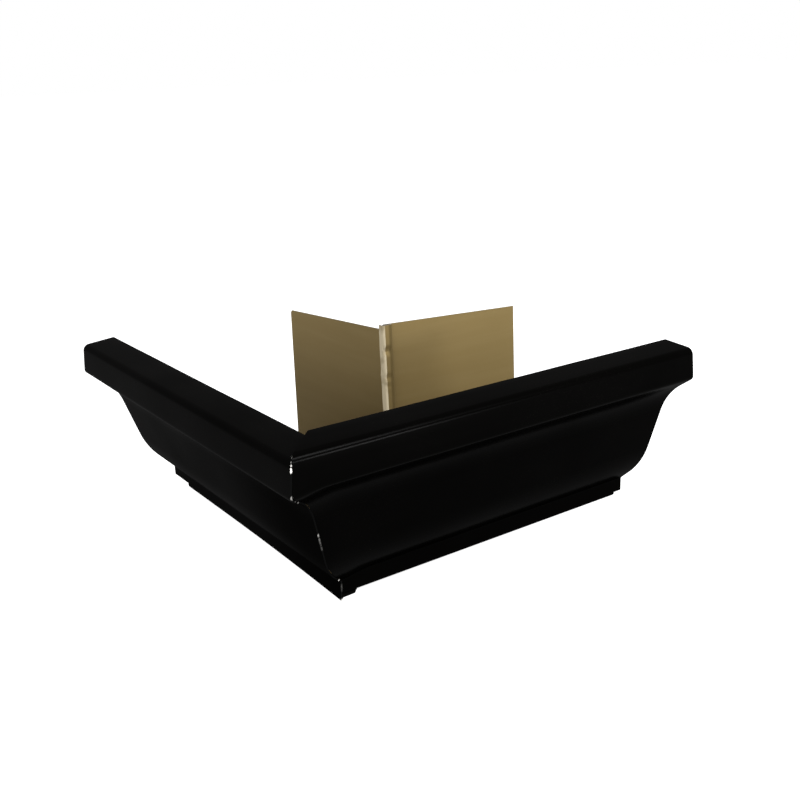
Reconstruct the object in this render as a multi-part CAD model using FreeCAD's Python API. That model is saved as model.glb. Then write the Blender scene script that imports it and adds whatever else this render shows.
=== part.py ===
"""Outside corner of a moulded eaves gutter: two mitre-cut halves of folded sheet and the lock seam between them.

One half runs along +X and is the right one, the other runs along +Y. The outer corner of the nose is at x = y = 0
while the model is made, and the finished part stands on z = 0 with its base centred on the origin.
"""
import FreeCAD, Part
import math
import os

# Sheet and its folds, mm
sheet = 0.7
fold = 1.0
seam_gap = 0.1

# Section of the gutter: set back from the foremost line of the nose, and height above the base
width = 127.0
lip_back = 19.3
lip_height = 89.0
return_depth = 7.0
nose_lean = 1.3
nose_fall = 1.6
nose_top_radius = 3.5
nose_face = 14.4
nose_bottom_radius = 2.5
cove_back, cove_drop = 15.3, 10.6
cove_radius = 30.0
belly_back, belly_height = 29.0, 21.4
belly_radius = 42.0
band_back = 43.0
band_height = 9.0
nose_top = lip_height - nose_fall
nose_bottom = nose_top - nose_face
cove_height = nose_bottom - cove_drop
band_radius = 1.5

# The two legs, with the back wall's height at the corner and at the open end
right_length = 217.5
right_wall_corner, right_wall_end = 92.3, 88.2
left_length = 222.9
left_wall_corner, left_wall_end = 90.7, 85.3
wall_corner_clip = 1.2

# The left half's open end is cut out of square: its back bottom corner stands out by this much
left_skew = 3.0

# Corner notches in the lower fold at the open ends: along the leg, up the band and into the bottom
right_notch = (5.0, 2.0, 6.0)
left_notch = (18.0, 2.8, 12.0)

# Seam on the front: the left skin runs on past the mitre, and tabs of the right half lie behind it
skin_lap = 1.0
skin_gap = 0.15
tab_gap = 0.2
tab_width = 8.0
tab_end_margin = 3.5

# Seam on the bottom: the left half's flange goes under the right half and lifts its corner end
flange_width = 7.0
corner_rise = 1.6

# Seam at the back corner: a flange of the left wall in a pocket of the right wall
lock_width = 5.5
lock_foot = 3.2
lock_lip = 2.5
lock_fold = 1.0
lock_set = 0.05
crimp_radius = 3.0
crimp_depth = 0.35
crimp_drops = (13.5, 25.0, 32.5)

reach = 400.0
vertical = FreeCAD.Vector(0, 0, 1)


def section_outline(wall):
    """Show side of the section as corners (set back, height, radius), from the lip's return to the wall's top."""
    plain = fold + sheet
    return [
        (lip_back, lip_height - return_depth, 0),
        (lip_back, lip_height, plain),
        (nose_lean, nose_top, nose_top_radius),
        (0, nose_bottom, nose_bottom_radius),
        (cove_back, cove_height, cove_radius),
        (belly_back, belly_height, belly_radius),
        (band_back, band_height, band_radius),
        (band_back, 0, plain),
        (width, 0, plain),
        (width, wall, 0),
    ]


def heading(a, b):
    """Unit direction in the drawing plane from corner a to corner b."""
    length = math.hypot(b[0] - a[0], b[1] - a[1])
    return (b[0] - a[0]) / length, (b[1] - a[1]) / length


def shifted(corners, distance):
    """The same outline at a distance to its left, with radii that keep each fold concentric."""
    moved = []
    for i, (x, y, radius) in enumerate(corners):
        came = heading(corners[max(i - 1, 0)], corners[max(i, 1)])
        goes = heading(corners[min(i, len(corners) - 2)], corners[min(i + 1, len(corners) - 1)])
        turn = came[0] * goes[1] - came[1] * goes[0]
        share = distance / (1 + came[0] * goes[0] + came[1] * goes[1])
        x -= (came[1] + goes[1]) * share
        y += (came[0] + goes[0]) * share
        moved.append((x, y, radius - math.copysign(distance, turn) if radius else 0))
    return moved


def outline_edges(corners, place):
    """Straight runs and fold arcs along the corners, put into space by the function place."""
    edges = []
    start = corners[0][:2]
    for before, corner, after in zip(corners, corners[1:], corners[2:]):
        x, y, radius = corner
        came, goes = heading(before, corner), heading(corner, after)
        half_turn = math.acos(came[0] * goes[0] + came[1] * goes[1]) / 2
        run = radius * math.tan(half_turn)
        first = (x - came[0] * run, y - came[1] * run)
        last = (x + goes[0] * run, y + goes[1] * run)
        inward = heading(came, goes)
        sag = radius / math.cos(half_turn) - radius
        middle = (x + inward[0] * sag, y + inward[1] * sag)
        if math.dist(start, first) > 1e-6:
            edges.append(Part.LineSegment(place(*start), place(*first)).toShape())
        edges.append(Part.Arc(place(*first), place(*middle), place(*last)).toShape())
        start = last
    edges.append(Part.LineSegment(place(*start), place(*corners[-1][:2])).toShape())
    return edges


def sheet_face(corners, place):
    """Cross-section of the sheet whose one side is the outline and whose other side lies to the left of it."""
    other = shifted(corners, sheet)
    edges = outline_edges(corners, place) + outline_edges(other, place)
    for end in (0, -1):
        edges.append(Part.LineSegment(place(*corners[end][:2]), place(*other[end][:2])).toShape())
    return Part.Face(Part.Wire(Part.__sortEdges__(edges)))


def filled_face(corners, place):
    """Everything on the trough's side of an outline, as one face."""
    edges = outline_edges(corners, place)
    edges.append(Part.LineSegment(place(*corners[-1][:2]), place(*corners[0][:2])).toShape())
    return Part.Face(Part.Wire(Part.__sortEdges__(edges)))


def across(set_back, height):
    """Point of the section on the plane that crosses the leg along +X."""
    return FreeCAD.Vector(0, set_back, height)


def in_plan(x, y):
    """Point of a section drawn in plan."""
    return FreeCAD.Vector(x, y, 0)


def block(low, high):
    """Upright box between two corners."""
    return Part.makeBox(high[0] - low[0], high[1] - low[1], high[2] - low[2], FreeCAD.Vector(*low))


def side_of_mitre(offset):
    """Space on the right half's side of the upright plane x = y + offset."""
    points = [(offset - reach, -reach), (offset + reach, reach), (reach * 3, reach), (reach * 3, -reach)]
    points.append(points[0])
    face = Part.Face(Part.makePolygon([FreeCAD.Vector(x, y, -reach) for x, y in points]))
    return face.extrude(vertical * (2 * reach))


def mirrored(shape):
    """The same shape on the other leg."""
    return shape.mirror(FreeCAD.Vector(0, 0, 0), FreeCAD.Vector(1, -1, 0))


def skewed_end(leg, length, wall_end, skew):
    """Cuts the open end from its front, at the length, to its back bottom corner, which stands out by the skew."""
    past, bottom = length + 2 * skew, 2 * (fold + sheet)
    leg = leg.cut(block((length, -1, -1), (past, band_back, reach)))
    plan = [(length, band_back), (length + skew, width), (past, width), (past, band_back), (length, band_back)]
    floor = Part.Face(Part.makePolygon([FreeCAD.Vector(x, y, -1) for x, y in plan]))
    leg = leg.cut(floor.extrude(vertical * (1 + bottom)))
    side = [(length + skew, bottom), (length, wall_end), (past, reach), (past, bottom), (length + skew, bottom)]
    edge = Part.Face(Part.makePolygon([FreeCAD.Vector(x, band_back, z) for x, z in side]))
    return leg.cut(edge.extrude(FreeCAD.Vector(0, width, 0)))


def plain_leg(length, wall_corner, wall_end, notch, skew):
    """Leg along +X before its mitre is cut: the folded sheet, its sloping wall top and the notch at its open end."""
    section = sheet_face(section_outline(max(wall_corner, wall_end)), across)
    leg = section.extrude(FreeCAD.Vector(length + skew, 0, 0))
    if skew:
        leg = skewed_end(leg, length, wall_end, skew)
    slope = (wall_end - wall_corner) / (length - width)
    top = [
        (0, wall_corner - slope * width),
        (length - wall_corner_clip, wall_end - slope * wall_corner_clip),
        (length + 1, wall_end - wall_corner_clip - 1),
        (length + 1, reach),
        (0, reach),
    ]
    edge = [FreeCAD.Vector(x, width - 2 * sheet, z) for x, z in top + top[:1]]
    leg = leg.cut(Part.Face(Part.makePolygon(edge)).extrude(FreeCAD.Vector(0, 3 * sheet, 0)))
    along, up, inward = notch
    return leg.cut(block((length - along, band_back - 1, -1), (length + skew + 1, band_back + inward, up)))


def tilted(shape):
    """The right half's lie: it stands on its far end, and the left half's flange lifts its corner end."""
    angle = math.degrees(math.atan(corner_rise / (right_length - band_back)))
    turned = shape.copy()
    turned.rotate(FreeCAD.Vector(right_length, 0, 0), FreeCAD.Vector(0, 1, 0), angle)
    return turned


def wall_top_space(wall_corner, wall_end, length):
    """Space below a wall's top edge near the back corner, for the lock seam's folds."""
    drop = (wall_corner - wall_end) / (length - width) * lock_width
    left, right = width - 3 * sheet - fold, width + lock_width
    points = [(left, lock_foot), (right, lock_foot), (right, wall_corner - drop), (left, wall_corner)]
    points.append(points[0])
    face = Part.Face(Part.makePolygon([FreeCAD.Vector(x, 0, z) for x, z in points]))
    return face.extrude(FreeCAD.Vector(0, 2 * width, 0))


def lock_pocket():
    """Upright part of the right half at the back corner: the wall doubled back on itself round the other's flange."""
    layer = sheet + seam_gap
    turn = lock_fold + layer
    far = width + lock_width
    outer_fold = (3 * sheet + 2 * seam_gap) / 2
    back = width - sheet
    path = [
        (width - sheet - layer, width - 3 * layer - sheet + turn + lock_lip, 0),
        (width - sheet - layer, width - 3 * layer - sheet, turn),
        (far, width - 3 * layer - sheet, outer_fold),
        (far, back - seam_gap, outer_fold),
        (width + seam_gap + sheet, back - seam_gap, seam_gap / 2),
        (width + seam_gap + sheet, back, seam_gap / 2),
        (far, back, 0),
    ]
    pocket = sheet_face(path, in_plan).extrude(vertical * reach)
    rise = math.tan(math.atan(corner_rise / (right_length - band_back))) * (right_length - width)
    pocket = pocket.common(wall_top_space(right_wall_corner + rise, right_wall_end + rise, right_length))
    face_y = width - 3 * layer - sheet
    for drop in crimp_drops:
        middle = FreeCAD.Vector(width, face_y - crimp_radius + crimp_depth, right_wall_corner - drop)
        pocket = pocket.cut(Part.makeSphere(crimp_radius, middle))
    return pocket


def lock_flange():
    """Upright part of the left half at the back corner: its wall turned along the right wall, into the pocket.

    It is set a little into the trough, so that a board lies flat on the wall's whole outer face.
    """
    layer = sheet + seam_gap
    face_y = width - 2 * layer - sheet
    wall_x = width - sheet - lock_set
    path = [
        (wall_x, width, 0),
        (wall_x, face_y, lock_fold),
        (width + lock_width - layer - 2 * seam_gap, face_y, 0),
    ]
    flange = sheet_face(path, in_plan).extrude(vertical * reach)
    return flange.common(block((0, 0, lock_foot), (reach, reach, left_wall_corner)))


def bottom_flange(leg):
    """Strip of the left half's bottom that goes on under the right half, along the mitre."""
    low = (band_back + fold + sheet, band_back, -1)
    high = (width - 2 * (fold + sheet), width, sheet + 0.01)
    return leg.common(block(low, high)).cut(side_of_mitre(flange_width))


def front_tabs(right_skin):
    """Tabs of the right half that turn the corner and lie behind the left half's skin, one on each flat face."""
    behind = shifted(section_outline(lip_height), sheet + tab_gap)
    skin_behind = mirrored(sheet_face(behind, across).extrude(FreeCAD.Vector(reach, 0, 0)))
    room_behind = mirrored(filled_face(behind, across).extrude(FreeCAD.Vector(reach, 0, 0)))
    front = tilted(filled_face(section_outline(lip_height), across).extrude(FreeCAD.Vector(reach, 0, 0)))
    near = side_of_mitre(-tab_width)
    edge = band_back + 2 * tab_width
    margin = tab_end_margin
    windows = [
        (nose_bottom + margin, nose_top - margin - corner_rise),
        (belly_height + 3.5 * margin, cove_height - 3.5 * margin),
        (2 * sheet + corner_rise + fold, band_height - band_radius),
    ]
    pieces = []
    for low, high in windows:
        window = block((-reach, -reach, low), (edge, edge, high))
        pieces.append(skin_behind.common(window).common(front).common(near))
        pieces.append(right_skin.common(window).common(room_behind).cut(side_of_mitre(tab_width)))
    return pieces


def make_left():
    """Left half, along +Y: skin past the mitre, flange under the bottom seam and flange in the back lock."""
    leg = mirrored(plain_leg(left_length, left_wall_corner, left_wall_end, left_notch, left_skew))
    lock_room = block((width - 2 * sheet, 0, fold + sheet), (reach, width, reach))
    body = leg.cut(side_of_mitre(skin_lap)).cut(lock_room)
    return body.fuse([bottom_flange(leg), lock_flange()]).removeSplitter()


def make_right():
    """Right half, along +X: it lies on the bottom flange, with tabs behind the left skin and the lock's pocket."""
    leg = tilted(plain_leg(right_length, right_wall_corner, right_wall_end, right_notch, 0))
    body = leg.common(side_of_mitre(skin_lap + skin_gap))
    return body.fuse(front_tabs(leg) + [lock_pocket()]).removeSplitter()


halves = {"left_half": make_left(), "right_half": make_right()}
box = Part.makeCompound(list(halves.values())).BoundBox
to_centre = FreeCAD.Vector(-(box.XMin + box.XMax) / 2, -(box.YMin + box.YMax) / 2, 0)

os.makedirs("parts", exist_ok=True)
for name, half in halves.items():
    half.translate(to_centre)
    half.exportStep("parts/" + name + ".step")
    print(name, "solids", len(half.Solids), "valid", half.isValid(), "volume", round(half.Volume, 1))
print("base centre from the nose corner", [round(-v, 3) for v in (to_centre.x, to_centre.y)])
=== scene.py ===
# %% [markdown]
# # A gutter's outside corner
# This lesson dresses a roof gutter's outside corner. Two halves of coated aluminium sheet are cut at a mitre
# and locked together. They are black on the show side and beige in the trough. The imported model fixes the
# size and place of both halves, so first it is loaded.

# %% Load the imported model
import math
import bmesh
import bpy
from mathutils import Matrix, Vector, noise


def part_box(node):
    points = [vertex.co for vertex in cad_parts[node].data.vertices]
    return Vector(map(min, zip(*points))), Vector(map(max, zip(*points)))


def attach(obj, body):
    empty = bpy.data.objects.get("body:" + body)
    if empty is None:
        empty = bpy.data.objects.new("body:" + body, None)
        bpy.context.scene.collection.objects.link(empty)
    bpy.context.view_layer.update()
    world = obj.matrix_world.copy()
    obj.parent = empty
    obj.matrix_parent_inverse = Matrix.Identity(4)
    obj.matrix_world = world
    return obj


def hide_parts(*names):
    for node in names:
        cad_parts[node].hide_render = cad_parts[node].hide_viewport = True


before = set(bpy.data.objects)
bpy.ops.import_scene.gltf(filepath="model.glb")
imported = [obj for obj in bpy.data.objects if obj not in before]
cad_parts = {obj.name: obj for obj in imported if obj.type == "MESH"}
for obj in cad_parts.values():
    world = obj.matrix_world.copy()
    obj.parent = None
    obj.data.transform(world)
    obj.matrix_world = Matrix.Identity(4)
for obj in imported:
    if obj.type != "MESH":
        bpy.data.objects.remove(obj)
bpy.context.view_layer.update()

# %% [markdown]
# ## Sizes
# The sheet's section is a short table: how far each fold is set back from the nose, its height and its
# radius, in millimetres. It could be drawn as a curve, but a folding machine makes exactly what the table
# says: flat runs with a round fold between them. The back wall starts too high and is trimmed later.

# %% Sizes of the sheet and its section
MM = 0.001
RIGHT, LEFT, UP = Vector((1, 0, 0)), Vector((0, 1, 0)), Vector((0, 0, 1))

sheet = 0.7
width = 127.0
band_back = 43.0
tight_fold = 1.7
untrimmed_wall = 96.0
section = [
    (19.3, 82.0, 0),
    (19.3, 89.0, tight_fold),
    (1.3, 87.4, 3.5),
    (0, 73.0, 2.5),
    (15.3, 62.4, 30.0),
    (29.0, 21.4, 42.0),
    (band_back, 9.0, 1.5),
    (band_back, 0, tight_fold),
    (width, 0, tight_fold),
    (width, untrimmed_wall, 0),
]
right_length, left_length, left_skew = 217.5, 222.9, 3.0
print("corners in the section:", len(section))

# %% [markdown]
# The halves are made with the nose's outer corner at zero, as a fitter measures from it, and moved into place
# at the end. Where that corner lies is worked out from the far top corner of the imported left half: its
# flange in the lock reaches furthest back, and its open end reaches furthest left.

# %% Find the outer corner of the nose
layer = 0.8
packed_strip, flange_play = 5.5, 0.2
top_of_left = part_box("left_half")[1] / MM
nose = Vector((top_of_left.x - width - packed_strip + layer + flange_play,
               top_of_left.y - left_length - left_skew, 0))
print("outer corner of the nose, mm:", [round(v, 2) for v in nose])

# %% [markdown]
# ## Folding a sheet
# On the real object a flat strip goes through rollers that turn it round one fold after another. The mesh is
# made the same way: one edge along the leg is extruded for each flat run and spun for each fold. Spinning
# gives true arcs, where rounding a corner afterwards would only come near them.

# %% Fold an edge along a table of corners
flat_step, shortest_flat = 4.0, 0.01
arc_step, fewest_arc_steps = 0.55, 4


def points_of(made):
    return [v for v in made if isinstance(v, bmesh.types.BMVert)]


def edges_of(made):
    return [e for e in made if isinstance(e, bmesh.types.BMEdge)]


def fold_on(mesh, edges, corners, axis, to_space):
    """Runs edges out along the corners (u, v, radius); the first corner is where the edges already lie."""
    origin = to_space(0, 0)
    handed = axis.dot((to_space(1, 0) - origin).cross(to_space(0, 1) - origin))
    here = Vector(corners[0][:2])
    for i, corner in enumerate(corners[1:], start=1):
        bend = Vector(corner[:2])
        came = (bend - here).normalized()
        turn, run, radius = 0.0, 0.0, corner[2]
        if i + 1 < len(corners):
            goes = (Vector(corners[i + 1][:2]) - bend).normalized()
            turn = math.atan2(came.x * goes.y - came.y * goes.x, came.dot(goes))
            run = radius * math.tan(abs(turn) / 2)
        length = (bend - here).length - run
        if length > shortest_flat:
            steps = max(1, round(length / flat_step))
            step = to_space(*(came * (length / steps))) - origin
            for _ in range(steps):
                made = bmesh.ops.extrude_edge_only(mesh, edges=edges)["geom"]
                bmesh.ops.translate(mesh, vec=step, verts=points_of(made))
                edges = edges_of(made)
        here = bend - came * run
        if turn:
            side = Vector((-came.y, came.x)) * math.copysign(radius, turn)
            steps = max(fewest_arc_steps, round(abs(turn) * radius / arc_step))
            spun = bmesh.ops.spin(mesh, geom=edges, cent=to_space(*(here + side)), axis=axis,
                                  angle=turn * math.copysign(1, handed), steps=steps, use_duplicate=False)
            edges = edges_of(spun["geom_last"])
            here = bend + goes * run
    return edges


def first_edge(mesh, start, end):
    """A single edge, the line that a sheet is run out from."""
    return [mesh.edges.new((mesh.verts.new(start), mesh.verts.new(end)))]


def right_section(set_back, height):
    """A point of the section, drawn across the leg that runs to the right."""
    return Vector((0, set_back, height))


def left_section(set_back, height):
    """The same on the leg that runs to the left."""
    return Vector((set_back, 0, height))


def in_plan(x, y):
    """A point of a path that is drawn from above."""
    return Vector((x, y, 0))


# %% [markdown]
# ## Cutting the sheet
# Snips cut a real sheet along straight lines. A bisecting plane does that to a mesh. Each cut here has a test
# that says which faces it may touch, so that the mitre can part the front while the bottom keeps a flange.
# A boolean would need solid cutters and would leave long thin faces, which bend badly later.

# %% Cut faces at a plane and drop what lies beyond it
TINY = 1e-4


def cut(mesh, point, beyond, test=lambda centre: True, drop=True):
    """Cuts the faces whose centre passes the test, and deletes those on the side that beyond points to."""
    chosen = [f for f in mesh.faces if test(f.calc_center_median())]
    parts = set(chosen)
    for face in chosen:
        parts.update(face.edges)
        parts.update(face.verts)
    bmesh.ops.bisect_plane(mesh, geom=list(parts), dist=TINY, plane_co=point, plane_no=beyond)
    if drop:
        loose = [f for f in mesh.faces if test(f.calc_center_median())
                 and (f.calc_center_median() - Vector(point)).dot(Vector(beyond)) > TINY]
        bmesh.ops.delete(mesh, geom=loose, context="FACES")


def cut_across(mesh, axis, start, end, step):
    """Cuts the sheet at even planes, so that it has points enough to be bent and dented."""
    planes = round((end - start) / step)
    for i in range(1, planes):
        cut(mesh, axis * (start + (end - start) * i / planes), axis, drop=False)


def across_from(axis):
    """The level direction that crosses a leg, from its front to its back wall."""
    return Vector((axis.y, axis.x, 0))


# %% [markdown]
# ## The open ends
# At each open end the lower fold is snipped away, so that the next length of gutter can slide in. The left
# end is also a little out of square. Both are straight cuts, each held to the faces that the snips reached.

# %% Notch an open end, and cut one out of square
lower_part = 30
with_fold, most_of_fold, wall_only = width - 1, width - 0.5, width - 0.1
fold_top, fold_zone = 3.4, 8
front_and_band = band_back + 0.5


def notch(mesh, axis, length, along, up, inward):
    """Snips the lower fold away at an open end: along the leg, up the band and into the bottom."""
    across = across_from(axis)

    def near(centre):
        return centre.z < lower_part and centre.dot(across) < band_back + 2 * inward

    def low(centre):
        return near(centre) and centre.dot(axis) > length - along and centre.z < up
    cut(mesh, axis * (length - along), axis, near, drop=False)
    cut(mesh, UP * up, UP, near, drop=False)
    cut(mesh, across * (band_back + inward), across, low, drop=False)
    inside = [f for f in mesh.faces if low(f.calc_center_median())
              and f.calc_center_median().dot(across) < band_back + inward]
    bmesh.ops.delete(mesh, geom=inside, context="FACES")


def skewed_end(mesh, axis, length, wall_end, skew):
    """Cuts an open end that is out of square: its back bottom corner stands out by the skew."""
    across = across_from(axis)
    cut(mesh, UP * fold_top, UP,
        lambda c: c.dot(across) > with_fold and c.z < fold_zone, drop=False)
    cut(mesh, axis * length, axis, lambda c: c.dot(across) < front_and_band)
    bottom = axis - across * (skew / (width - band_back))
    cut(mesh, axis * length + across * band_back, bottom,
        lambda c: c.dot(across) > band_back and c.z < fold_top)
    side = axis + UP * (skew / (wall_end - fold_top))
    cut(mesh, axis * length + UP * wall_end, side,
        lambda c: c.dot(across) > with_fold and c.z > fold_top)


# %% [markdown]
# ## The plain legs
# Both halves start as the same leg. It is folded, cut into short lengths, and its back wall is trimmed to the
# slope that the real walls have: a little higher at the corner than at the open ends, where the top corner
# is clipped off. One function makes both, so that they can't differ by mistake.

# %% Fold the two legs
along_step = 3.5
upper_wall = 40


def plain_leg(axis, to_space, length, wall_corner, wall_end, clip, skew, snips):
    """A leg before its corner is cut: the folded sheet, its sloping wall top and its notched open end."""
    mesh = bmesh.new()
    start = to_space(*section[0][:2])
    edges = first_edge(mesh, start, start + axis * (length + skew))
    fold_on(mesh, edges, section, axis, to_space)
    cut_across(mesh, axis, 0, length, along_step)
    if skew:
        skewed_end(mesh, axis, length, wall_end, skew)
    slope = (wall_corner - wall_end) / (length - width)
    across = across_from(axis)

    def on_wall(centre):
        return centre.dot(across) > with_fold and centre.z > upper_wall
    cut(mesh, axis * length + UP * wall_end, UP + axis * slope, on_wall)
    cut(mesh, axis * length + UP * (wall_end - clip), UP + axis, on_wall)
    notch(mesh, axis, length, *snips)
    return mesh


right_mesh = plain_leg(RIGHT, right_section, right_length, wall_corner=92.3, wall_end=88.2,
                       clip=0.4, skew=0, snips=(5.0, 2.0, 6.0))
left_mesh = plain_leg(LEFT, left_section, left_length, wall_corner=90.7, wall_end=85.3,
                      clip=1.2, skew=left_skew, snips=(18.0, 2.8, 12.0))
print("faces of the plain legs:", len(right_mesh.faces), len(left_mesh.faces))

# %% [markdown]
# The right wall's open end leans back a little in the photograph. One more cut gives the lean, from the full
# length near the bottom to a shorter one at the top.

# %% Trim the right wall's end
trimmed, trimmed_height, above_fold = 1.6, 88, 2
cut(right_mesh, RIGHT * (right_length - trimmed) + UP * trimmed_height,
    RIGHT + UP * (trimmed / trimmed_height), lambda c: c.y > most_of_fold and c.z > above_fold)
print("right wall's end leans back by", trimmed, "mm")

# %% [markdown]
# ## The left half's corner
# The left skin is cut a millimetre past the mitre and shows its bare edge there. Its bottom runs on as a
# flange that the other half stands on, and its wall turns into a flange that goes into the lock at the back.
# The flange grows out of the wall's own edge, so that the sheet stays one piece.

# %% Mitre the left half
skin_lap, flange_width = 1.0, 7.0
past_mitre = Vector((1, -1, 0)).normalized()
bottom_level, inside_folds = 0.2, band_back + 1.6


def on_bottom(centre):
    return centre.z < bottom_level and inside_folds < min(centre.x, centre.y)


cut(left_mesh, (flange_width, 0, 0), past_mitre, on_bottom)
cut(left_mesh, (skin_lap, 0, 0), past_mitre, lambda centre: not on_bottom(centre))

# %% Turn the left wall's flange
lock_foot = 3.2
slack, upright = 0.01, 0.1
flange_lead, flange_turn, flange_reach = 1.0, 0.3, 3.5


def leading_edges(mesh, axis, place):
    """Open upright edges of a wall at its corner end, above the lock's foot."""
    def leads(point):
        return abs(point.dot(axis) - place) < slack and point.z > lock_foot - slack
    return [e for e in mesh.edges if e.is_boundary and all(leads(v.co) for v in e.verts)
            and abs(e.verts[0].co.z - e.verts[1].co.z) > upright]


turn_at = width + flange_lead - 2 * layer
cut(left_mesh, (0, 0, lock_foot), UP, lambda c: c.x > wall_only and c.z < fold_zone, drop=False)
cut(left_mesh, (0, turn_at, 0), -LEFT, lambda c: c.x > wall_only and c.z > lock_foot)
flange_path = [
    (width, turn_at, 0),
    (width, width - 2 * layer, flange_turn),
    (width + flange_reach, width - 2 * layer, 0),
]
fold_on(left_mesh, leading_edges(left_mesh, LEFT, turn_at), flange_path, -UP, in_plan)
print("left half's faces:", len(left_mesh.faces))

# %% [markdown]
# ## The right half's tilt
# The right half stands on the left half's flange, which lifts its corner end. The whole leg is turned by half
# a degree about its far bottom edge. It is turned before the mitre is cut, so that the cut comes out upright
# and the two skins meet all the way down, as they do when one half is marked against the other.

# %% Tilt the right half
corner_rise = 1.6
lean = math.atan(corner_rise / (right_length - band_back))
bmesh.ops.rotate(right_mesh, cent=RIGHT * right_length, matrix=Matrix.Rotation(lean, 3, "Y"),
                 verts=right_mesh.verts)
print("right half leans by", round(math.degrees(lean), 2), "degrees")

# %% [markdown]
# ## The right half's corner
# The right wall is doubled back on itself, and doubled again, which makes a pocket for the left wall's
# flange. A narrow lip is hammered over at its end. This lock needs no rivet. All of it is one path in plan:
# the wall's open edge follows it, so that the folds stay joined to the wall.

# %% Mitre the right half
skin_gap = 0.15
lock_start = width + 1.6


def on_lock_wall(centre):
    return centre.y > wall_only and centre.z > lock_foot


cut(right_mesh, UP * lock_foot, UP, lambda c: c.y > wall_only and c.z < fold_zone, drop=False)
cut(right_mesh, (skin_lap + skin_gap, 0, 0), -past_mitre, lambda c: not on_lock_wall(c))
cut(right_mesh, (lock_start, 0, 0), -RIGHT, on_lock_wall)

# %% Fold the lock
strip_width = 4.6
far = width + strip_width
behind, pocket_back, pocket_front, lip_end = width + 0.1, width - 1.5, width - 2.4, width + 0.5
wall_turn, strip_turn, lip_turn = 0.74, 0.445, 0.75
lock_path = [
    (lock_start, width, 0),
    (behind, width, wall_turn),
    (behind, pocket_back, wall_turn),
    (far - sheet, pocket_back, strip_turn),
    (far - sheet, pocket_front, strip_turn),
    (width - layer, pocket_front, lip_turn),
    (width - layer, lip_end, 0),
]
fold_on(right_mesh, leading_edges(right_mesh, RIGHT, lock_start), lock_path, UP, in_plan)
print("right half's faces:", len(right_mesh.faces))

# %% [markdown]
# Below the nose the lifted skin would leave a slit above the left skin's edge. On the real part it is tapped
# down until the two lie flush, so the points near the seam are lowered by as much as the tilt raised them.
# The move fades out along the leg and at both ends of the seam, and leaves no crease.

# %% Tap the right skin down at the seam
tap_reach = 16.0
tap_top, tap_bottom = (75.0, 71.5), (1.0, 8.5)
front_zone = band_back + 1


def fade(value, none_at, full_at):
    """0 at the first place, 1 at the second, and smooth between."""
    share = min(1, max(0, (value - none_at) / (full_at - none_at)))
    return share * share * (3 - 2 * share)


deepest = 0
for v in right_mesh.verts:
    if v.co.y < front_zone:
        lift = (right_length - v.co.x) * math.tan(lean)
        height = v.co.z - lift
        near = fade(v.co.x - v.co.y, tap_reach, skin_gap + skin_lap)
        tap = lift * near * fade(height, *tap_top) * fade(height, *tap_bottom)
        v.co.z -= tap
        deepest = max(deepest, tap)
print("right skin tapped down by up to", round(deepest, 2), "mm")

# %% [markdown]
# A crimping tool has bitten the lock strip in three places, which stops it from sliding open. The strip gets
# finer faces first, and then its points are pushed in around each bite. The hammered lip waves a little as
# well. Near the strip's far fold nothing moves, because crowded points there would make the wall spike.

# %% Crimp the lock strip
crimps = [(127.8, 79.4, 0.9, 3.4), (127.4, 65.0, 0.6, 3.0), (127.4, 60.4, 0.3, 2.2)]
crimp_stretch = 0.7
strip_x, strip_y = (width - 1, far - 0.9), (width - 4, width - 1.8)
lip_x, lip_y = width - 0.5, width - 3
calm_from, calm_to = far - 2.2, far - 1.3
lip_wave, lip_wave_size, lip_wave_seed = 0.16, 7, 7


def on_strip(place):
    return (strip_x[0] < place.x < strip_x[1] and strip_y[0] < place.y < strip_y[1]
            and place.z > lock_foot)


def on_lip(place):
    return place.x < lip_x and place.y > lip_y and place.z > lock_foot


strip = {e for f in right_mesh.faces if on_strip(f.calc_center_median()) for e in f.edges}
bmesh.ops.subdivide_edges(right_mesh, edges=list(strip), cuts=4, use_grid_fill=True)
for v in right_mesh.verts:
    if on_strip(v.co) or on_lip(v.co):
        loose = min(1, max(0, (calm_to - v.co.x) / (calm_to - calm_from)))
        ripple = noise.noise(Vector((lip_wave_seed, 0, v.co.z / lip_wave_size)))
        v.co.x += lip_wave * loose * ripple
        for x, z, depth, radius in crimps:
            near = 1 - min(1, math.hypot((v.co.x - x) * crimp_stretch, v.co.z - z) / radius)
            v.co.y += depth * loose * near * near * (3 - 2 * near)
print("crimps:", len(crimps), "in a strip of", len(strip), "edges before it was made finer")

# %% [markdown]
# Behind the front seam the right half has tabs, which turn the corner and lie inside the left half's skin.
# They hold the two skins in line. Each tab starts at the skin's open edge: the edge is extruded to the bend,
# and once more along the left leg.

# %% Turn the tabs behind the left skin
tab_width, tab_gap, slant_share = 8.0, 0.2, 1.06
tab_windows = [(76.5, 82.3), (33.7, 50.1), (4.0, 7.5)]
seam_zone, cut_slack, window_slack = 9, 0.02, 0.05


def set_back_at(height):
    """How far the show side lies behind the nose at a height, between the section's folds."""
    for (top_back, top, _), (low_back, low, _) in zip(section[2:], section[3:]):
        if low <= height <= top:
            return top_back + (low_back - top_back) * (top - height) / max(top - low, TINY)
    return 0


def at_seam(centre):
    return centre.y < front_zone and centre.x - centre.y < seam_zone


def on_mitre_cut(point, low, high):
    """Whether a point lies on the front skin's open edge, between two heights."""
    return (abs(point.x - point.y - skin_lap - skin_gap) < cut_slack and point.y < front_zone
            and low - window_slack < point.z < high + window_slack)


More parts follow.
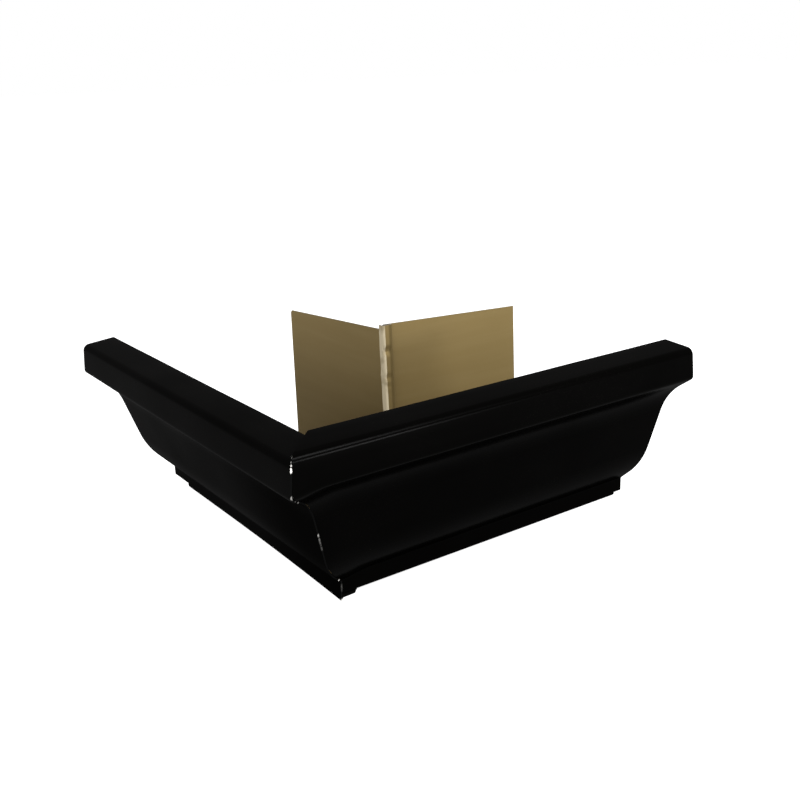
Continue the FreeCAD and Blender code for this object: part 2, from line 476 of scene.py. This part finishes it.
for low, high in tab_windows:
    cut(right_mesh, UP * low, UP, at_seam, drop=False)
    cut(right_mesh, UP * high, UP, at_seam, drop=False)
    edges = [e for e in right_mesh.edges if e.is_boundary
             and all(on_mitre_cut(v.co, low, high) for v in e.verts)]
    made = bmesh.ops.extrude_edge_only(right_mesh, edges=edges)["geom"]
    for v in points_of(made):
        v.co.x = set_back_at(v.co.z) + sheet * slant_share + tab_gap
    made = bmesh.ops.extrude_edge_only(right_mesh, edges=edges_of(made))["geom"]
    bmesh.ops.translate(right_mesh, vec=LEFT * tab_width, verts=points_of(made))
    print("tab from", low, "to", high, "edges:", len(edges))

# %% [markdown]
# ## Shader helper
# A finish mixes many masks. Written as node calls they are hard to read, so one small class wraps a socket,
# and plus, minus and times on it add the Math nodes. Every other node comes from one method. The same class
# serves the materials and the world, because both own a tree of nodes.

# %% One class for masks and one method for nodes


class Value:
    """A socket of a finish, with arithmetic."""
    def __init__(self, finish, socket):
        self.finish, self.socket = finish, socket

    def maths(self, operation, *others):
        return self.finish.node("ShaderNodeMath", {"operation": operation},
                                dict(enumerate((self, *others))))

    def __add__(self, other):
        return self.maths("ADD", other)

    def __mul__(self, other):
        return self.maths("MULTIPLY", other)

    def __sub__(self, other):
        return self.maths("SUBTRACT", other)

    def __rsub__(self, other):
        return (self * -1.0) + other

    __radd__, __rmul__ = __add__, __mul__


class Finish:
    """The nodes of a material or of the world, while they are being made."""
    def __init__(self, owner):
        owner.use_nodes = True
        self.owner, self.tree = owner, owner.node_tree
        self.tree.nodes.clear()

    def node(self, kind, settings=None, values=None, out=0):
        """One node: its settings come first, then the values or links of its sockets."""
        made = self.tree.nodes.new(kind)
        for key, setting in (settings or {}).items():
            setattr(made, key, setting)
        for key, value in (values or {}).items():
            if isinstance(value, Value):
                self.tree.links.new(value.socket, made.inputs[key])
            else:
                made.inputs[key].default_value = value
        return Value(self, made.outputs[out]) if made.outputs else made

    def place(self, stretch=(1, 1, 1)):
        """Object coordinates in metres, stretched along an axis for a rolled grain."""
        coords = self.node("ShaderNodeTexCoord", out="Object")
        return self.node("ShaderNodeMapping", {}, {"Vector": coords, "Scale": stretch})

    def noise(self, scale, detail, stretch=(1, 1, 1)):
        """A cloudy pattern; a larger scale makes it finer."""
        return self.node("ShaderNodeTexNoise", {},
                         {"Vector": self.place(stretch), "Scale": scale, "Detail": detail})

    def mask(self, value, low, high):
        """0 below low, 1 above high, smooth between."""
        return self.node("ShaderNodeMapRange", {"interpolation_type": "SMOOTHSTEP"},
                         {"Value": value, "From Min": low, "From Max": high})

    def measure(self, operation, other):
        """A number that Vector Math makes from Object coordinates and another vector."""
        coords = self.node("ShaderNodeTexCoord", out="Object")
        return self.node("ShaderNodeVectorMath", {"operation": operation}, {0: coords, 1: other}, out="Value")

    def along(self, direction):
        """How far a point lies along a direction, in metres."""
        return self.measure("DOT_PRODUCT", direction)

    def away_from(self, spot):
        """Distance from a point that is given in millimetres."""
        return self.measure("DISTANCE", spot * MM)

    def off_mitre(self):
        """Distance from the mitre plane, above 0 on the right half's side."""
        half = math.sqrt(0.5)
        return self.along((half, -half, 0)) - (nose.x - nose.y) * half * MM

    def between(self, direction, low, high, soft):
        """1 where a point lies from low to high along a direction, in millimetres, with soft ends."""
        place = self.along(direction)
        past_high = self.mask(place, high * MM, (high + soft) * MM)
        return self.mask(place, (low - soft) * MM, low * MM) * (1 - past_high)

    def bump(self, height, depth):
        """Tiny relief, its depth in metres."""
        return self.node("ShaderNodeBump", {}, {"Height": height, "Strength": 1.0, "Distance": depth})

    def finished(self, **sockets):
        """Ends the material in a Principled shader with these sockets."""
        shader = self.node("ShaderNodeBsdfPrincipled", {},
                           {key.replace("_", " "): value for key, value in sockets.items()})
        self.node("ShaderNodeOutputMaterial", {}, {"Surface": shader})
        return self.owner


FACTOR, FIRST_COLOUR, SECOND_COLOUR, MIXED_COLOUR = 0, 6, 7, 2


def mix_colour(factor, low, high):
    """The low colour where the factor is 0, and the high one where it is 1."""
    return factor.finish.node("ShaderNodeMix", {"data_type": "RGBA"},
                              {FACTOR: factor, FIRST_COLOUR: low, SECOND_COLOUR: high}, out=MIXED_COLOUR)


# %% [markdown]
# ## The black paint
# The show side has a baked black paint, satin and very dark, with the faint skin of orange peel that a coated
# coil has. A plain black would look like a hole, so its gloss comes from a weak coat over a dull base, and
# the coat is weaker below the nose, where the photograph shows less gloss.

# %% Black coat of the show side
deep_black, soft_black = (0.0004, 0.00036, 0.0003, 1), (0.0009, 0.0008, 0.0007, 1)
dust_colour = (0.02, 0.019, 0.016, 1)
coat_tint = (1, 0.95, 0.84, 1)
held_near, held_far = 35, 120
dull_below, bright_above = 0.058, 0.074


def black_coat(name, grain, handled):
    """The paint is duller below the nose; handled is how much more so beside the corner."""
    coat = Finish(bpy.data.materials.new(name))
    clouds = coat.noise(22, 3)
    rolled = coat.noise(260, 3, grain)
    peel = coat.noise(900, 2)
    dust = coat.mask(coat.noise(2600, 1), 0.66, 0.78) * coat.mask(clouds, 0.42, 0.62)
    shade = mix_colour(clouds * 0.6 + rolled * 0.4, deep_black, soft_black)
    beside = 1 - coat.mask(coat.along(LEFT), (nose.y + held_near) * MM, (nose.y + held_far) * MM)
    duller = (1 - coat.mask(coat.along(UP), dull_below, bright_above)) * (beside * handled + 0.4)
    return coat.finished(
        Base_Color=mix_colour(dust * 0.25, shade, dust_colour), Roughness=0.7, Specular_IOR_Level=0.0,
        Coat_Weight=(0.03 + clouds * 0.02) * (1 - duller), Coat_Roughness=0.22, Coat_IOR=1.3,
        Coat_Tint=coat_tint, Normal=coat.bump(peel * 0.6 + rolled * 0.4, 0.00002))


# %% [markdown]
# ## The beige wash coat
# The trough has the thin beige coat of the coil's back, through which the metal shines a little. Painted
# shade darkens it low in the trough, black is painted as shade in the gap beside the front seam, a painted
# highlight lightens the hammered lip of the lock, and painted shade darkens the groove at the lock strip's
# far fold. Each of these is a mask over the same beige, so that they can lie over one another.

# %% Beige wash coat of the trough
beige_dark, beige_light = (0.165, 0.121, 0.050, 1), (0.21, 0.153, 0.066, 1)
# Below, all colours but the streaks' are painted light: shade low in the trough, a highlight on the lock's
# lip, shade in the groove and black shade at the seam.
streak_colour, trough_shade_colour = (0.27, 0.21, 0.105, 1), (0.045, 0.030, 0.008, 1)
lip_highlight_colour, groove_shade_colour = (0.54, 0.47, 0.33, 1), (0.03, 0.02, 0.006, 1)
seam_shade_colour = (0.004, 0.0036, 0.003, 1)
trough_low, trough_high = 0.030, 0.096
lip_highlight_x, lip_highlight_y, lip_highlight_soft = (124.6, 126.8), (123.8, 128.4), 0.3
groove_x, groove_x_soft = (far - 1.8, far + 0.3), 0.9
groove_y, groove_y_soft = (width - 4, width - 0.9), 0.3
seam_shade, seam_shade_soft = 5.4, 0.8
seam_shade_stops = (band_back + 9, band_back + 12)


def beige_coat(name, grain, trough_shade, lip_highlight, groove_shade):
    """Paints shade low in the trough, a highlight on the lock's lip and shade in its groove, each by its own
    amount.
    """
    coat = Finish(bpy.data.materials.new(name))
    clouds = coat.noise(14, 3)
    rolled = coat.noise(180, 4, grain)
    fine = coat.noise(1500, 2)
    shade = mix_colour(clouds, beige_dark, beige_light)
    beige = mix_colour(coat.mask(rolled, 0.40, 0.70) * 0.12, shade, streak_colour)
    # Painted shade: the beige darkens towards the trough's bottom, by the amount given for each half.
    low = 1 - coat.mask(coat.along(UP), trough_low, trough_high)
    beige = mix_colour(low * trough_shade, beige, trough_shade_colour)

    # Painted highlight: the hammered lip of the lock is lightened in blotches, where its rounding catches the
    # light, and loses its metal sheen.
    lip = coat.between(RIGHT, nose.x + lip_highlight_x[0], nose.x + lip_highlight_x[1], lip_highlight_soft)
    lip = lip * coat.between(LEFT, nose.y + lip_highlight_y[0], nose.y + lip_highlight_y[1], lip_highlight_soft)
    lip = lip * lip_highlight * (0.55 + coat.mask(coat.noise(120, 2), 0.4, 0.6) * 0.45)
    beige = mix_colour(lip, beige, lip_highlight_colour)
    # Painted shade in the groove at the lock strip's far fold, where the sheet turns away from the light.
    groove = coat.between(RIGHT, nose.x + groove_x[0], nose.x + groove_x[1], groove_x_soft)
    groove = groove * coat.between(LEFT, nose.y + groove_y[0], nose.y + groove_y[1], groove_y_soft)
    beige = mix_colour(groove * groove_shade, beige, groove_shade_colour)

    # Painted shade: near-black, rougher and not metallic within a few millimetres of the mitre, where the gap
    # between the skins lies in shade, over the flange too, up to the stops along the leg.
    beyond = coat.mask(coat.along(RIGHT), (nose.x + seam_shade_stops[0]) * MM, (nose.x + seam_shade_stops[1]) * MM)
    ragged = coat.off_mitre().maths("ABSOLUTE") + coat.noise(300, 2) * 0.0012
    not_seam_shaded = coat.mask(ragged, seam_shade * MM, (seam_shade + seam_shade_soft) * MM)
    seam_shaded = (1 - not_seam_shaded) * (1 - beyond)
    return coat.finished(
        Base_Color=mix_colour(seam_shaded, beige, seam_shade_colour), Metallic=(0.22 - seam_shaded * 0.22) * (1 - lip),
        Roughness=0.42 + rolled * 0.04 + seam_shaded * 0.2, Specular_IOR_Level=0.0,
        Normal=coat.bump(fine * 0.7 + rolled * 0.3, 0.000008))


# %% [markdown]
# ## The cut edges
# Where snips cut the sheet there is no paint. The edge is coloured near-black at the front seam and grey at
# the walls, and it is bare metal only in a list of spots along the seam: each has its place from the nose,
# its radius and how bare it is. One mask for the whole edge would make a bright line that the photograph
# doesn't show.

# %% Cut edges
bare_spots = [
    ((3.4, 2.4, 89.0), 1.0, 0.6), ((1.8, 0.8, 86.8), 1.3, 1.0), ((1.0, 0.0, 84.6), 1.3, 1.0),
    ((1.0, 0.2, 74.2), 1.1, 0.30), ((2.8, 1.8, 72.4), 1.1, 0.35), ((5.2, 4.2, 70.0), 1.0, 0.2),
    ((21.5, 20.5, 46.0), 1.4, 0.35), ((22.6, 21.6, 43.0), 2.4, 0.14), ((23.8, 22.8, 39.5), 2.8, 0.07),
    ((39.8, 38.8, 11.6), 1.1, 1.0), ((43.8, 42.8, 6.0), 3.2, 0.15), ((42.0, 41.2, 0.3), 2.2, 0.8),
]
edge_grain = (1, 1, 0.25)
dull_front, dull_wall = (0.004, 0.004, 0.004, 1), (0.20, 0.18, 0.15, 1)
bare_metal = (0.80, 0.78, 0.74, 1)


def cut_edge(name):
    """Sheared metal, dark at the front seam, greyer at the walls and bare at the listed spots."""
    edge = Finish(bpy.data.materials.new(name))
    sheared = edge.noise(3200, 2, edge_grain)
    broken = edge.mask(edge.noise(900, 2), 0.36, 0.50)
    bare = None
    for spot, radius, share in bare_spots:
        outside = edge.mask(edge.away_from(nose + Vector(spot)), radius * 0.5 * MM, radius * MM)
        near = (1 - outside) * share
        bare = near if bare is None else bare.maths("MAXIMUM", near)
    bare = bare * (broken * 0.7 + 0.3)
    at_wall = edge.mask(edge.along((0.5, 0.5, 0)), 0.004, 0.012)
    dull = mix_colour(at_wall, dull_front, dull_wall)
    return edge.finished(
        Base_Color=mix_colour(bare, dull, bare_metal), Metallic=bare * 0.9,
        Roughness=0.36 + sheared * 0.3, Specular_IOR_Level=0.0, Normal=edge.bump(sheared, 0.00004))


# %% [markdown]
# The rolled grain runs along each leg, so the two halves have their own coats with the grain turned. The left
# coat gets more painted shade low in the trough, and only the right one, which holds the lock, gets the
# painted highlight on the lip and the painted shade in the groove. They share one finish for the cut edges.

# %% Make the finishes
grain_left, grain_right = (1, 0.06, 1), (0.06, 1, 1)
edges_of_sheet = cut_edge("cut_edge")
left_finishes = [
    black_coat("black_coat_left", grain_left, handled=0.45),
    beige_coat("beige_coat_left", grain_left, trough_shade=0.60, lip_highlight=0.0, groove_shade=0.0),
    edges_of_sheet,
]
right_finishes = [
    black_coat("black_coat_right", grain_right, handled=0.0),
    beige_coat("beige_coat_right", grain_right, trough_shade=0.36, lip_highlight=1.0, groove_shade=0.42),
    edges_of_sheet,
]
print("finishes:", [m.name for m in bpy.data.materials])

# %% [markdown]
# ## Life in the sheet
# Beside the corner the left half's band lies up to two millimetres further forward in the photograph, so it
# is pressed out there. A folded sheet is never quite flat either: its faces swell by up to a tenth of a
# millimetre between the folds, which bends the light along them. The points are moved by a smooth noise,
# less near the base, so that the part still stands flat. Bump would shade the faces but leave their outline
# straight.

# %% Press the left band forward at the corner
pressed, pressed_along, pressed_up = 2.0, 110.0, 13
pressed_full, pressed_inward = 8, 30
for v in left_mesh.verts:
    low = max(0, 1 - v.co.z / pressed_up)
    inward = max(0, min(1, 1 - (v.co.x - band_back - pressed_full) / pressed_inward))
    near = max(0, 1 - (v.co.y - band_back) / pressed_along) * inward
    v.co -= Vector((1, 1, 0)) * (pressed * low * near * near)
print("left band pressed forward by", pressed, "mm at the corner")

# %% Swell the faces a little
swell, swell_size = 0.10, 38
flat_below, calm_over = 3, 12


def weather(mesh, seed):
    """Moves each point along its normal by a smooth noise, and returns the furthest move."""
    mesh.normal_update()
    furthest = 0
    for v in mesh.verts:
        calm = min(1, max(0, (v.co.z - flat_below) / calm_over))
        wave = noise.noise(v.co / swell_size + Vector((seed, 0, 0)))
        v.co += v.normal * (wave * swell * calm)
        furthest = max(furthest, abs(wave * swell * calm))
    return furthest


swelled = [weather(left_mesh, 3.0), weather(right_mesh, 11.0)]
print("furthest swell of each half, mm:", [round(s, 3) for s in swelled])

# %% [markdown]
# ## Thickness
# The mesh is still one skin. A Solidify modifier gives it its wall towards the trough, with the beige finish
# on the inner face and bare metal on the rim, which is just how a coated coil looks when it is cut. A narrow
# bevel takes the hard corner off the rim, so that it catches the light as a sheared edge does. Its hardened
# normals keep the flat faces from shading as if they were round.

# %% Make the two halves
merge_within = 0.001
rim_width, rim_angle = 0.08, 60


def make_half(name, mesh, finishes, node):
    """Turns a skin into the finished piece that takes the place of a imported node."""
    bmesh.ops.remove_doubles(mesh, verts=mesh.verts, dist=merge_within)
    bmesh.ops.recalc_face_normals(mesh, faces=mesh.faces)
    lowest = min(mesh.faces, key=lambda f: f.calc_center_median().z)
    if lowest.normal.z > 0:
        bmesh.ops.reverse_faces(mesh, faces=mesh.faces)
    for face in mesh.faces:
        face.smooth = True
    bmesh.ops.translate(mesh, vec=nose, verts=mesh.verts)
    bmesh.ops.scale(mesh, vec=(MM, MM, MM), verts=mesh.verts)
    data = bpy.data.meshes.new(name)
    mesh.to_mesh(data)
    mesh.free()
    piece = bpy.data.objects.new(name, data)
    bpy.context.scene.collection.objects.link(piece)
    for finish in finishes:
        data.materials.append(finish)
    wall = piece.modifiers.new("wall", "SOLIDIFY")
    wall.thickness = sheet * MM
    wall.offset = -1
    wall.use_even_offset = True
    wall.material_offset = 1
    wall.material_offset_rim = 2
    rim = piece.modifiers.new("rim", "BEVEL")
    rim.width = rim_width * MM
    rim.segments = 1
    rim.limit_method = "ANGLE"
    rim.angle_limit = math.radians(rim_angle)
    rim.harden_normals = True
    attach(piece, "root")
    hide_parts(node)
    print(name, "faces before the wall:", len(data.polygons))


make_half("left_half_skin", left_mesh, left_finishes, "left_half")
make_half("right_half_skin", right_mesh, right_finishes, "right_half")

# %% [markdown]
# ## Camera
# The photograph was taken from the front, a little above the lips and turned slightly. Its place and lens
# were worked out from the part's own edges, so the camera is set by numbers, with no shift. Its place is
# measured from the nose's outer corner.

# %% Place the camera
camera_from_nose = Vector((-150.329, -290.957, 215.424))
camera_turn = (71.8935, 2.4861, -35.2646)
camera = bpy.data.objects.new("camera", bpy.data.cameras.new("camera"))
bpy.context.scene.collection.objects.link(camera)
camera.data.lens = 44.70
camera.data.sensor_width = 36
camera.data.clip_start = 0.01
camera.location = (nose + camera_from_nose) * MM
camera.rotation_euler = [math.radians(angle) for angle in camera_turn]
bpy.context.scene.camera = camera
print("camera at", [round(c, 3) for c in camera.location])

# %% [markdown]
# ## Floor and background
# The part lies on a plain pale floor in front of a white background. The floor and the world are brighter for
# the camera and for mirrors than for the light that falls on the part. More lamp light would make them white
# too, but it would bleach the part.

# %% Floor
floor_grey, floor_glow, floor_size = (0.5, 0.5, 0.5, 1), 0.85, 60
white = (1, 1, 1, 1)


def seen_by_camera(finish):
    """1 for the camera and for reflections, 0 for light that is scattered."""
    outputs = finish.node("ShaderNodeLightPath").socket.node.outputs
    seen = Value(finish, outputs["Is Camera Ray"]).maths("MAXIMUM", Value(finish, outputs["Is Glossy Ray"]))
    return seen.maths("MAXIMUM", Value(finish, outputs["Is Transmission Ray"]))


floor_finish = Finish(bpy.data.materials.new("floor"))
scatter = floor_finish.node("ShaderNodeBsdfDiffuse", {}, {"Color": floor_grey})
glow = floor_finish.node("ShaderNodeEmission", {},
                         {"Color": white, "Strength": seen_by_camera(floor_finish) * floor_glow})
both = floor_finish.node("ShaderNodeAddShader", {}, {0: scatter, 1: glow})
floor_finish.node("ShaderNodeOutputMaterial", {}, {"Surface": both})
floor_mesh = bmesh.new()
bmesh.ops.create_grid(floor_mesh, x_segments=1, y_segments=1, size=floor_size)
floor_data = bpy.data.meshes.new("floor")
floor_mesh.to_mesh(floor_data)
floor_mesh.free()
floor_data.materials.append(floor_finish.owner)
floor = bpy.data.objects.new("floor", floor_data)
bpy.context.scene.collection.objects.link(floor)
print("floor:", floor_size * 2, "m across")

# %% World
seen_light, plain_light = 0.28, 0.72
world = bpy.data.worlds.new("studio")
bpy.context.scene.world = world
sky = Finish(world)
background = sky.node("ShaderNodeBackground", {},
                      {"Color": white, "Strength": seen_by_camera(sky) * seen_light + plain_light})
sky.node("ShaderNodeOutputWorld", {}, {"Surface": background})
print("world's light on the part:", plain_light)

# %% [markdown]
# ## Lamps
# A key lamp from the front right and a wide fill from the left light the part at a plain level. A low lamp
# draws the two bright lines on the lip's rounding. It is seen in reflections only, because its scattered
# light would throw the lip's shadow on the beige wall. A faint lamp above softens the rest.

# %% Lamps
middle = Vector((-0.06, -0.11, 0.085))


def lamp(name, place, aim, size, power):
    """A rectangular lamp that looks at a point and isn't seen by the camera itself."""
    light = bpy.data.lights.new(name, "AREA")
    light.shape, light.size, light.size_y = "RECTANGLE", *size
    light.energy = power
    holder = bpy.data.objects.new(name, light)
    holder.location = place
    holder.rotation_euler = (Vector(aim) - Vector(place)).to_track_quat("-Z", "Y").to_euler()
    holder.visible_camera = False
    bpy.context.scene.collection.objects.link(holder)
    return holder


lamp("key", middle + Vector((0.92, -1.40, 1.30)), middle, size=(0.30, 0.60), power=35)
shine = lamp("low", middle + Vector((0.91, -1.64, 0.12)), middle, size=(0.27, 0.22), power=21)
shine.visible_diffuse = False
lamp("fill", middle + Vector((-1.10, -0.70, 1.10)), middle, size=(1.2, 1.2), power=19)
lamp("top", (0.2, 0.1, 2.0), (0, 0, 0), size=(1.5, 1.5), power=5)
bpy.context.scene.view_settings.view_transform = "Standard"
print("lamps:", [light.name for light in bpy.data.lights])
